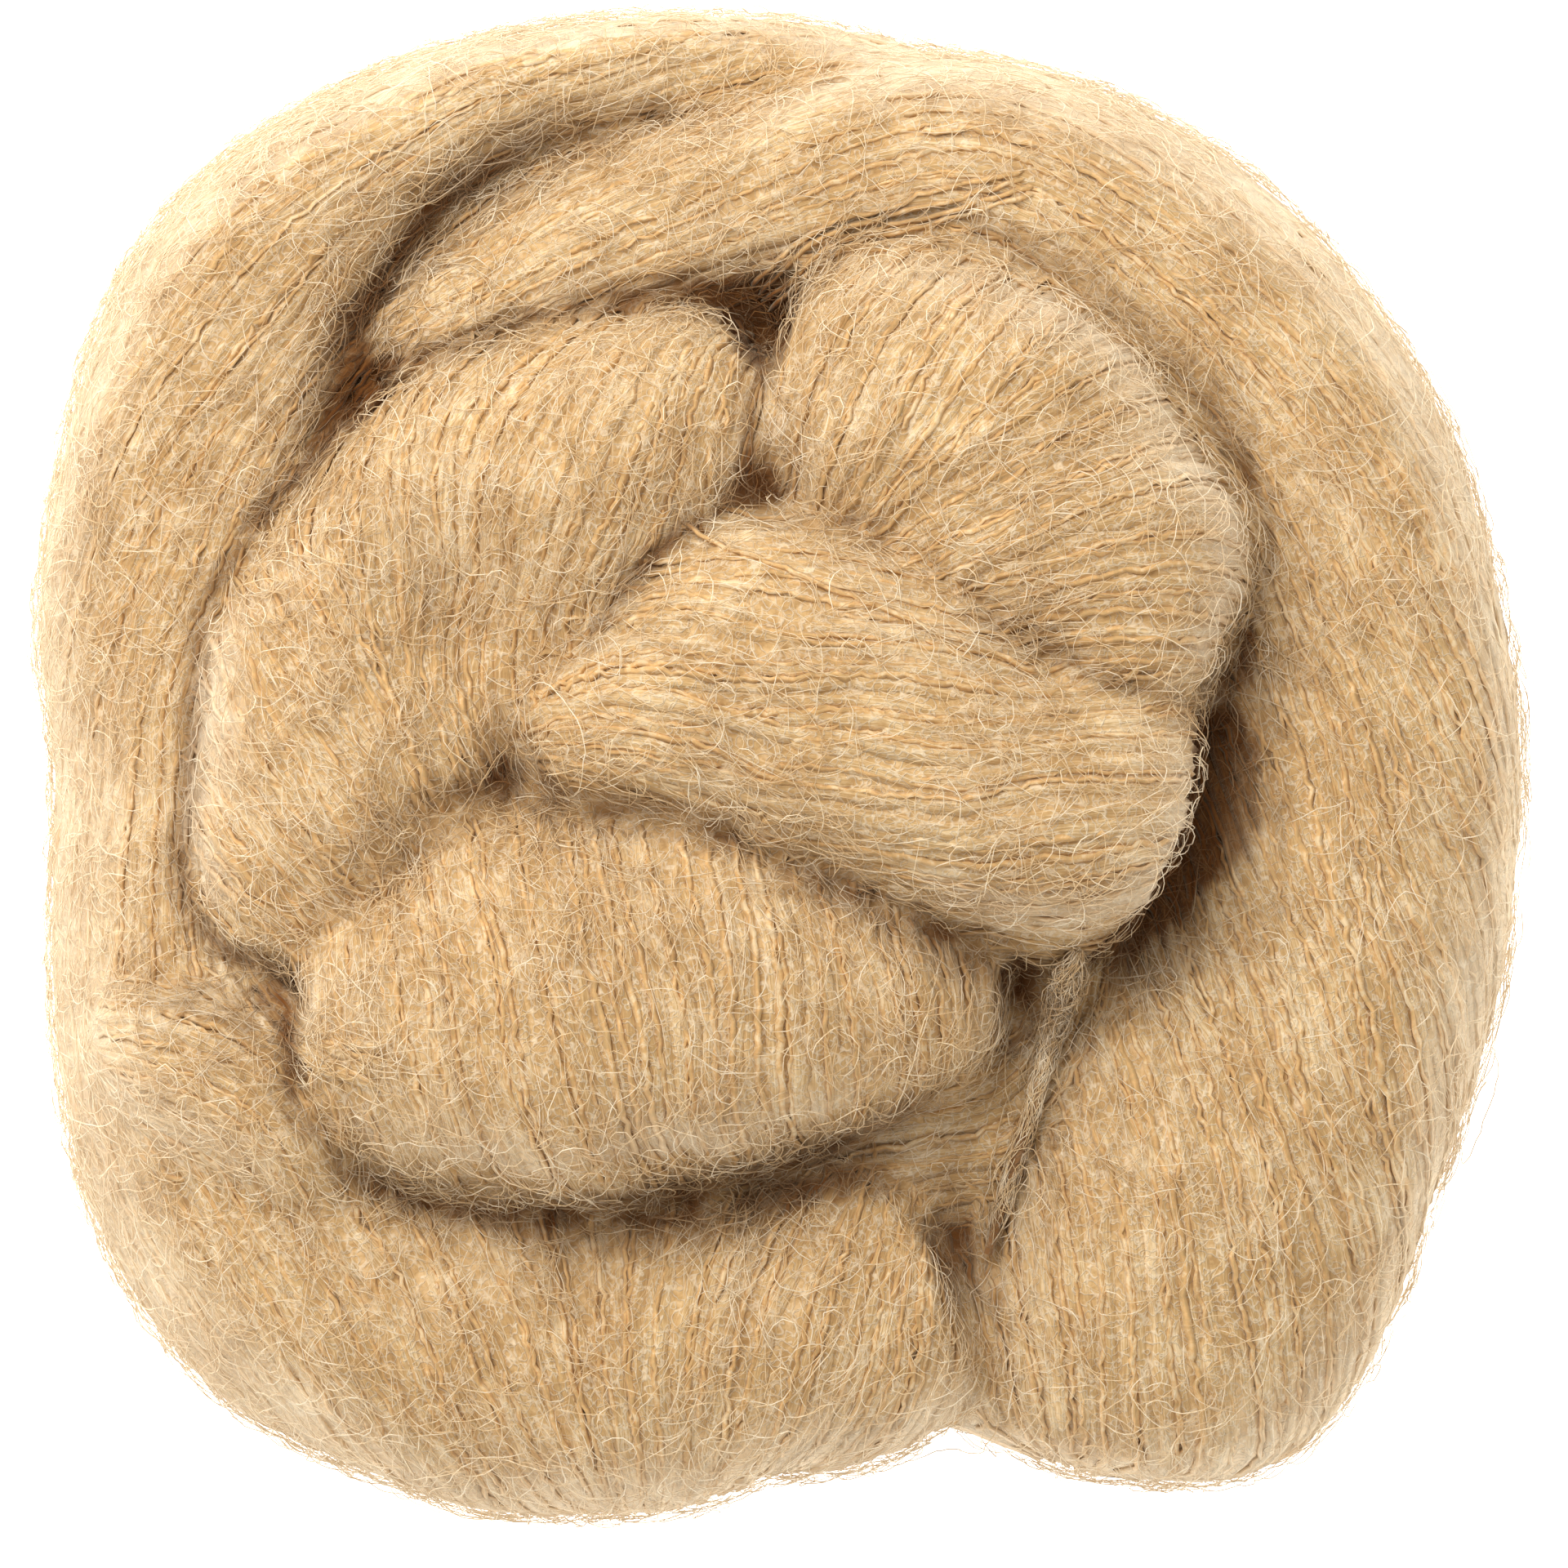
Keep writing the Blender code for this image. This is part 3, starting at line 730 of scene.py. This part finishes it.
# each with its dark, middle and light tones, how much one strand differs from the next, and its sheen
massWool = woolMaterial("felted_wool_mass", ("deep", "shade", "body"), 0.0, 0.4, drawnHairs=True)
sliverWool = woolMaterial(
    "combed_wool_sliver", ("deep", "shade", "light"), 0.03, 0.4, combed=True, drawnHairs=True
)
strandWool = woolMaterial("spun_wool_strand", ("shade", "golden", "light"), 0.06, 0.35)
fibreWool = woolMaterial("loose_wool_fibre", ("body", "light", "fibre"), 0.15, 0.3)
# the loose end gets painted shade along y instead of the crevices', and no painted glow
endWool = woolMaterial("spun_wool_end", ("shade", "body", "light"), 0.0, 0.5, drawnHairs=True, shadeAlongEnd=True)


def profileOf(name, sides):
    # a flat loop that a strand's section follows
    bm = bmesh.new()
    bmesh.ops.create_circle(bm, segments=sides, radius=1.0)
    places = [v.co.copy() for v in bm.verts]
    bm.free()
    curve = bpy.data.curves.new(name, "CURVE")
    spline = curve.splines.new("POLY")
    spline.points.add(sides - 1)
    for point, place in zip(spline.points, places):
        point.co = (place.x * mm, place.y * mm, 0, 1)
    spline.use_cyclic_u = True
    return bpy.data.objects.new(name, curve)


def tubesOf(name, lines, sides, material):
    # thin tubes with closed ends along lines of (place, radius), all in mm
    curve = bpy.data.curves.new(name, "CURVE")
    curve.dimensions = "3D"
    curve.bevel_mode = "OBJECT"
    curve.bevel_object = profileOf(name + "_section", sides)
    curve.twist_mode = "MINIMUM"
    for line in lines:
        spline = curve.splines.new("POLY")
        spline.points.add(len(line) - 1)
        spline.points.foreach_set("co", [c for place, _ in line for c in (*(place * mm), 1)])
        spline.points.foreach_set("radius", [radius for _, radius in line])
    curve.materials.append(material)
    holder = bpy.data.objects.new(name + "_lines", curve)
    bpy.context.scene.collection.objects.link(holder)
    piece = keepAsMesh(holder, name)
    bpy.data.objects.remove(curve.bevel_object)
    bm = bmesh.new()
    bm.from_mesh(piece.data)
    bmesh.ops.holes_fill(bm, edges=bm.edges, sides=sides)
    bmesh.ops.recalc_face_normals(bm, faces=bm.faces)
    bm.to_mesh(piece.data)
    bm.free()
    return piece


def combAlong(piece, lines, sides):
    # tells the wool along which way each tube's hairs are drawn
    values = []
    for number, line in enumerate(lines):
        reach = number * 17.3
        for i, (place, radius) in enumerate(line):
            if i:
                reach += (place - line[i - 1][0]).length / woolLook["hairLength"]
            for side in range(sides):
                angle = 2 * math.pi * side / sides
                wide = radius / woolLook["hairBreadth"]
                values += [reach, math.cos(angle) * wide, math.sin(angle) * wide]
    if len(values) != 3 * len(piece.data.vertices):
        raise ValueError("the tubes of " + piece.name + " have other points than their lines")
    piece.data.attributes.new("comb", "FLOAT_VECTOR", "POINT").data.foreach_set("vector", values)


# the strands of yarn

strandLook = {
    "spacing": 1.7,  # from one strand's middle to the next, mm
    "underSpacing": 2.4,  # the same on the side that lies on the table
    "step": 2.6,
    "parts": 3,  # points of a crimped strand for each of its sliver's
    "hidden": 1.6,  # deeper than this under another turn, a strand isn't made
    "shortest": 4,  # points
    "longest": 70,
    "tries": 1.1,
    "startGap": 0.93,  # how near another a strand may start and run, as shares of the spacing
    "runGap": 0.62,
    "wander": 0.3,  # how far the yarn's way leaves its turn's own, in radians
    "wanderSize": 14.0,  # mm
    "below": -0.55,  # a side that looks further down than this lies on the table
    "firmAbove": -0.3,  # crimped strands are laid only where the side looks higher than this
    "asideFrom": 0.3,  # how far a crimped strand lies from its sliver's middle, as shares of the spacing
    "asideTo": 0.6,
    "seed": 11,
    # soft slivers of combed wool side by side cover the hank, and the crimped strands lie between them;
    # wave: how many waves of the crimp in a mm
    "sliver": {
        "sides": 5, "radius": 1.2, "lift": -0.98, "high": 0.07, "rise": 0.25, "crimp": 0.25, "wave": 0.12,
        "uneven": 0.15,
    },
    "firm": {
        "sides": 3, "radius": 0.38, "lift": -0.13, "high": 0.08, "rise": 0.35, "crimp": 0.3, "wave": 0.34,
        "uneven": 0.5,
    },
}


class Crowd:
    # points sorted into cells, to find neighbours that are too near
    def __init__(self, cell):
        self.cell = cell
        self.cells = {}

    def key(self, p):
        return (math.floor(p.x / self.cell), math.floor(p.y / self.cell), math.floor(p.z / self.cell))

    def add(self, p):
        self.cells.setdefault(self.key(p), []).append(p)

    def near(self, p, distance):
        kx, ky, kz = self.key(p)
        limit = distance * distance
        for x in (kx - 1, kx, kx + 1):
            for y in (ky - 1, ky, ky + 1):
                for z in (kz - 1, kz, kz + 1):
                    for q in self.cells.get((x, y, z), ()):
                        if (q - p).length_squared < limit:
                            return True
        return False


def depthUnder(p):
    # how deep a point lies under the hank's skin, in mm; less than 0 is outside
    place, normal, _, distance = skin.find_nearest(p)
    return distance if (p - place).dot(normal) < 0 else -distance


def spacingAt(p, middle):
    lies = (p - middle).normalized().z < strandLook["below"]
    return strandLook["underSpacing"] if lies else strandLook["spacing"]


def traceStrand(stations, along, angle, way, crowd):
    # follows the yarn's way over a turn from a place on it, until it would meet another strand or go under
    points = []
    for _ in range(strandLook["longest"]):
        if not 0.6 < along < len(stations) - 1.6:
            break
        here, lean = onTurn(stations, along, angle)
        middle = stations[int(along)][0]
        gap = spacingAt(here, middle) * strandLook["runGap"]
        if depthUnder(here) > strandLook["hidden"] or crowd.near(here, gap):
            break
        points.append((here, (here - middle).normalized()))
        lean += strandLook["wander"] * noise.noise(here / strandLook["wanderSize"])
        alongWay = (onTurn(stations, along + 0.5, angle)[0] - here).length / 0.5
        roundWay = (onTurn(stations, along, angle + 0.02)[0] - here).length / 0.02
        along += way * math.cos(lean) * strandLook["step"] / max(alongWay, 0.3)
        angle -= way * math.sin(lean) * strandLook["step"] / max(roundWay, 1.0)
    return points


def traceTurn(name, dice):
    # strands side by side over one turn, as they come
    stations = stationsOf(turns[name])
    crowd = Crowd(strandLook["underSpacing"])
    girth = sum(math.pi * (s[3] + s[4]) for s in stations)
    strands = []
    for _ in range(int(girth / strandLook["spacing"] * strandLook["tries"])):
        along = dice.uniform(1, len(stations) - 2)
        angle = dice.uniform(0, 2 * math.pi)
        start, _ = onTurn(stations, along, angle)
        if crowd.near(start, spacingAt(start, stations[int(along)][0]) * strandLook["startGap"]):
            continue
        if depthUnder(start) > strandLook["hidden"]:
            continue
        ahead = traceStrand(stations, along, angle, 1, crowd)
        back = traceStrand(stations, along, angle, -1, crowd)
        strand = back[:0:-1] + ahead
        for p, _ in strand:
            crowd.add(p)
        if len(strand) >= strandLook["shortest"]:
            strands.append(strand)
    return strands


def ontoSkin(p, outward):
    # straight down onto the skin from outside, or the nearest place on it
    hit, normal, _, _ = skin.ray_cast(p + outward * 4, -outward, 16)
    if hit is not None and normal.dot(outward) > 0.2:
        return hit, normal
    hit, normal, _, _ = skin.find_nearest(p)
    return hit, normal


def settle(strand, look, dice):
    # lays a traced strand on the skin, with its own crimp and its thick and thin stretches
    phase = dice.uniform(0, 100)
    high = dice.uniform(-look["high"], look["high"])
    thick = dice.uniform(0.8, 1.15)
    tight = look["wave"] * dice.uniform(0.85, 1.2)
    laid = []
    reach = 0.0
    for i, (p, outward) in enumerate(strand):
        place, normal = ontoSkin(p, outward)
        ahead = (strand[min(i + 1, len(strand) - 1)][0] - strand[max(i - 1, 0)][0]).normalized()
        aside = normal.cross(ahead)
        if i:
            reach += (p - strand[i - 1][0]).length
        wave = noise.noise(Vector((phase, reach * tight * 2, 0)))
        rise = noise.noise(Vector((phase, reach * tight * 1.5, 7)))
        fat = 1 + look["uneven"] * noise.noise(Vector((phase, reach * 0.4, 15)))
        sunk = 0.9 if i in (0, len(strand) - 1) else 0.0
        out = place + aside * wave * 2 * look["crimp"]
        out += normal * (look["lift"] + high + rise * look["rise"] - sunk)
        radius = look["radius"] * thick * fat * (0.4 if sunk else 1.0)
        out.z = max(out.z, radius * 1.02)
        laid.append((out, radius))
    return laid


def finer(strand, dice):
    # the strand in shorter steps, moved aside to lie between its neighbours
    side = dice.uniform(strandLook["asideFrom"], strandLook["asideTo"]) * dice.choice((-1, 1))
    side *= strandLook["spacing"]
    points = []
    for (p, outward), (q, after) in zip(strand, strand[1:]):
        aside = outward.cross(q - p).normalized() * side
        for k in range(strandLook["parts"]):
            share = k / strandLook["parts"]
            points.append((p.lerp(q, share) + aside, outward.lerp(after, share).normalized()))
    return points


def inHalves(lines):
    # the upper and the lower lines, about as many points in each
    lines.sort(key=lambda line: -sum(p.z for p, _ in line) / len(line))
    total = sum(len(line) for line in lines)
    cut, reached = 0, 0
    while reached < total / 2:
        reached += len(lines[cut])
        cut += 1
    return lines[:cut], lines[cut:]


crossing = {
    # bundles that cross the others: their way seen from above in mm, how many strands, how broad in mm,
    # and how many slivers
    "bundles": (
        (((-9.6, 24.3), (-0.4, 20.2), (8.7, 16.4), (17.1, 13.1), (26.2, 9.3)), 1, 0.0, 0),
        (((-2.1, 47.7), (3.7, 52.6), (10.4, 55.2), (17.9, 57.2), (25.4, 59.3)), 4, 4.0, 0),
        (((-53.0, 22.0), (-48.5, 31.5), (-43.2, 38.6), (-36.8, 44.6), (-28.5, 49.6)), 5, 6.0, 6),
        (((-56.0, -16.0), (-52.5, -22.5), (-46.5, -27.5), (-39.0, -30.0)), 3, 4.5, 4),
    ),
    "step": 0.8,
    "over": 0.3,  # how much higher than the others they lie, mm
    "sliverRadius": 0.9,
    "sliverLower": 0.6,  # how much lower the slivers lie than the strands, mm
    "wander": 0.5,  # mm
    "crimp": 0.45,
    "uneven": 0.4,
    "endsIn": 1.5,  # how deep their ends go in, mm
    "seed": 31,
}


def layAcross(row, offset, radius, over, dice):
    # a strand over the hank along a row of places seen from above
    fine = [Vector(splineRow(row, k / 40)) for k in range((len(row) - 1) * 40 + 1)]
    phase = dice.uniform(0, 100)
    strand = []
    for i, (a, b) in enumerate(zip(fine, fine[1:])):
        wander = crossing["wander"] * noise.noise(Vector((phase, i * 0.03, 1)))
        aside = Vector((a.y - b.y, b.x - a.x)).normalized() * (offset + wander)
        if strand and (a + aside - strand[-1].xy).length < crossing["step"]:
            continue
        strand.append(skin.ray_cast(Vector((*(a + aside), 90)), Vector((0, 0, -1)))[0])
    heights = [p.z for p in strand]
    laid = []
    for i, p in enumerate(strand):
        some = heights[max(i - 5, 0):i + 6]
        p.z = max(sum(some) / len(some), p.z) + over  # it bridges a narrow hollow
        if i in (0, len(strand) - 1):
            p.z -= crossing["endsIn"]
        wave = Vector([noise.noise(Vector((phase, i * 0.55, k * 5))) for k in (1, 2, 3)])
        fat = 1 + crossing["uneven"] * noise.noise(Vector((phase, i * 0.3, 15)))
        laid.append((p + wave * crossing["crimp"], radius * fat))
    return laid


def layBundles():
    dice = random.Random(crossing["seed"])
    slivers, firm = [], []
    lower = crossing["over"] - crossing["sliverLower"]
    for row, count, breadth, under in crossing["bundles"]:
        for k in range(count):
            offset = ((k + dice.random()) / count - 0.5) * breadth
            firm.append(layAcross(row, offset, strandLook["firm"]["radius"], crossing["over"], dice))
        for k in range(under):
            offset = ((k + 0.5) / under - 0.5) * breadth
            slivers.append(layAcross(row, offset, crossing["sliverRadius"], lower, dice))
    return slivers, firm


def makeStrands():
    dice = random.Random(strandLook["seed"])
    slivers, firm = [], []
    for name in turns:
        for strand in traceTurn(name, dice):
            slivers.append(settle(strand, strandLook["sliver"], dice))
            if strand[len(strand) // 2][1].z > strandLook["firmAbove"]:
                firm.append(settle(finer(strand, dice), strandLook["firm"], dice))
    acrossSlivers, acrossFirm = layBundles()
    slivers += acrossSlivers
    firm += acrossFirm
    pieces = []
    sides = strandLook["sliver"]["sides"]
    for part, lines in zip(("upper", "lower"), inHalves(slivers)):
        piece = tubesOf("wool_slivers_" + part, lines, sides, sliverWool)
        combAlong(piece, lines, sides)
        pieces.append(piece)
    for part, lines in zip(("upper", "lower"), inHalves(firm)):
        pieces.append(tubesOf("yarn_strands_" + part, lines, strandLook["firm"]["sides"], strandWool))
    return slivers, pieces


strands, strandPieces = makeStrands()
print("strands:", len(strands))
mass.data.materials.clear()
mass.data.materials.append(massWool)
for piece in (mass, *strandPieces):
    putOn(piece)
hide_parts("hank")


# loose fibres over the strands

fibreLook = {
    # combed ones follow the strands, curly ones lie every way over them; the step and the height are in mm
    "combed": {
        "count": 6200, "steps": 4, "step": 1.9, "spread": 0.4, "curl": 0.05, "wave": 0.3, "height": 0.65,
    },
    "curly": {
        "count": 9900, "steps": 7, "step": 1.0, "spread": 1.6, "curl": 0.4, "wave": 0.8, "height": 0.95,
    },
    "stray": {
        "count": 70, "steps": 30, "step": 0.9, "spread": 1.6, "curl": 0.12, "wave": 0.5, "height": 1.6,
    },
    "sides": 3,
    "radius": 0.058,
    "fluffy": (0.65, 0.7),  # how many stand in the middling places, and how far the patches differ
    "brushed": 600.0,  # how slowly they thin out from left to right, mm
    "flattest": 0.75,  # a fibre ends where the skin turns more sharply than this
    "patches": 9.0,  # mm, how far it is from one fluffier place to the next
    "most": 3900,  # hairs in one piece
    "underside": 0.2,  # how many of them the side that lies on the table gets
    "seed": 23,
}


def yarnWays():
    # where the strands run, to comb the fibres along them
    tree = kdtree.KDTree(sum(len(strand) for strand in strands))
    ways = []
    for strand in strands:
        for i, (place, _) in enumerate(strand):
            tree.insert(place, len(ways))
            ways.append((strand[min(i + 1, len(strand) - 1)][0] - strand[max(i - 1, 0)][0]).normalized())
    tree.balance()
    return tree, ways


def growFibre(place, ahead, look, dice):
    # a fine hair that wanders over the hank's skin
    place, normal, _, _ = skin.find_nearest(place)
    turn = dice.gauss(0, look["curl"])
    phase = dice.uniform(0, 100)
    height = look["height"] * dice.uniform(0.5, 1.5)
    thick = fibreLook["radius"] * dice.uniform(0.7, 1.2)
    steps = look["steps"] + dice.randint(-1, 1)
    step = look["step"] * dice.uniform(0.8, 1.2)
    line = []
    for k in range(steps + 1):
        share = k / steps
        rise = height * math.sin(math.pi * (0.1 + 0.8 * share)) + 0.2 * noise.noise(Vector((phase, k, 5)))
        out = place + normal * (rise + 0.2)
        out.z = max(out.z, 0.1)
        line.append((out, thick * (1 - 0.7 * abs(2 * share - 1) ** 3)))
        bend = (turn + look["wave"] * noise.noise(Vector((phase, k * 0.6, 0)))) * step
        ahead = Matrix.Rotation(bend, 3, normal) @ ahead
        ahead = (ahead - normal * ahead.dot(normal)).normalized()
        place, after, _, _ = skin.find_nearest(place + ahead * step)
        if len(line) > 2 and after.dot(normal) < fibreLook["flattest"]:
            break  # it would fold over a sharp edge
        normal = after
    return line


def makeFibres():
    dice = random.Random(fibreLook["seed"])
    usual, varied = fibreLook["fluffy"]
    tree, ways = yarnWays()
    polygons = mass.data.polygons
    centers = [p.center / mm for p in polygons]
    keep = [fibreLook["underside"] if p.normal.z < -0.3 else 1.0 for p in polygons]
    pieces = []
    for kind in ("combed", "curly", "stray"):
        look = fibreLook[kind]
        lines = []
        while len(lines) < look["count"]:
            i = dice.randrange(len(centers))
            fluff = usual + varied * noise.noise(centers[i] / fibreLook["patches"])
            # the brushed side is the left one
            fluff += (centers[i].y - 2 * centers[i].x) / fibreLook["brushed"]
            if dice.random() > keep[i] * fluff:
                continue
            place = centers[i] + Vector([dice.uniform(-0.7, 0.7) for _ in range(3)])
            _, nearest, _ = tree.find(place)
            turned = Matrix.Rotation(dice.gauss(0, look["spread"]), 3, polygons[i].normal) @ ways[nearest]
            lines.append(growFibre(place, turned, look, dice))
        for start in range(0, len(lines), fibreLook["most"]):
            part = "abc"[start // fibreLook["most"]]
            some = lines[start:start + fibreLook["most"]]
            pieces.append(tubesOf(kind + "_fibres_" + part, some, fibreLook["sides"], fibreWool))
    return pieces


for piece in makeFibres():
    putOn(piece)


# the loose end

looseEnd = {
    "diameter": 1.8,
    "fullness": (0.95, 0.5),  # its core at the start and at the end, as a share of the diameter
    "uneven": 0.25,
    "hairs": 420,
    "hairPoints": 8,
    "tuft": 7.0,  # how far from its start the hairs stand out most, mm
    "seed": 5,
    # points along its middle, the same as the solid's, mm
    "route": (
        (29.2, -20.6, 37.4), (28.7, -22.4, 35.8), (28.2, -24.3, 34.2), (27.6, -26.2, 33.1),
        (27.1, -28.1, 32.7), (26.6, -30.1, 32.5), (26.0, -32.0, 32.3), (25.5, -34.0, 32.1),
        (25.0, -35.9, 31.7), (24.4, -37.8, 31.2), (23.8, -39.6, 30.7), (23.3, -41.5, 30.3),
        (22.7, -43.4, 30.1), (22.1, -45.2, 29.8), (21.6, -47.1, 29.5), (21.0, -49.0, 29.2),
    ),
}


def makeEndHairs(route):
    # hairs that leave the loose end and wander on beside it
    dice = random.Random(looseEnd["seed"])
    last = looseEnd["hairPoints"] - 1
    lines = []
    for _ in range(looseEnd["hairs"]):
        start = dice.uniform(0, 1) ** 1.9 * (len(route) - 3) - 1.4
        about = dice.uniform(0, 2 * math.pi)
        turning = dice.uniform(-0.6, 0.6)
        phase = dice.uniform(0, 100)
        reach = dice.uniform(0.3, 0.55)
        tuft = min(1.0, max(0.0, 1 - start * 2 / looseEnd["tuft"]))
        line = []
        for k in range(looseEnd["hairPoints"]):
            along = min(start + k * reach, len(route) - 1.01)
            i = max(0, int(along))
            middle = route[i] + (route[i + 1] - route[i]) * (along - i)
            ahead = (route[i + 1] - route[i]).normalized()
            side = ahead.cross(Vector((0, 0, 1))).normalized()
            angle = about + turning * k + noise.noise(Vector((phase, k * 0.5, 0)))
            swing = 1 + noise.noise(Vector((phase, k * 0.4, 9)))
            away = 0.45 + (0.45 + 0.75 * tuft) * math.sin(math.pi * k / last) * swing
            out = middle + side * (math.cos(angle) * away) + ahead.cross(side) * (math.sin(angle) * away)
            line.append((out, fibreLook["radius"]))
        lines.append(line)
    piece = tubesOf("loose_end_fibres", lines, fibreLook["sides"], fibreWool)
    putOn(piece)
    return piece


def makeLooseEnd():
    route = [Vector(p) for p in looseEnd["route"]]
    hairs = makeEndHairs(route)
    curve = bpy.data.curves.new("loose_yarn_end", "CURVE")
    curve.dimensions = "3D"
    curve.bevel_depth = looseEnd["diameter"] / 2 * mm
    curve.bevel_resolution = 3
    curve.use_fill_caps = True
    spline = curve.splines.new("POLY")
    spline.points.add(len(route) - 1)
    thick, thin = looseEnd["fullness"]
    for i, (point, place) in enumerate(zip(spline.points, route)):
        point.co = (*(place * mm), 1)
        full = thick + (thin - thick) * i / (len(route) - 1)
        point.radius = full * (1 + looseEnd["uneven"] * noise.noise(Vector((i * 0.8, 3, 3))))
    curve.materials.append(endWool)
    piece = bpy.data.objects.new("loose_yarn_end", curve)
    bpy.context.scene.collection.objects.link(piece)
    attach(piece, "root")
    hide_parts("yarn_end")


makeLooseEnd()
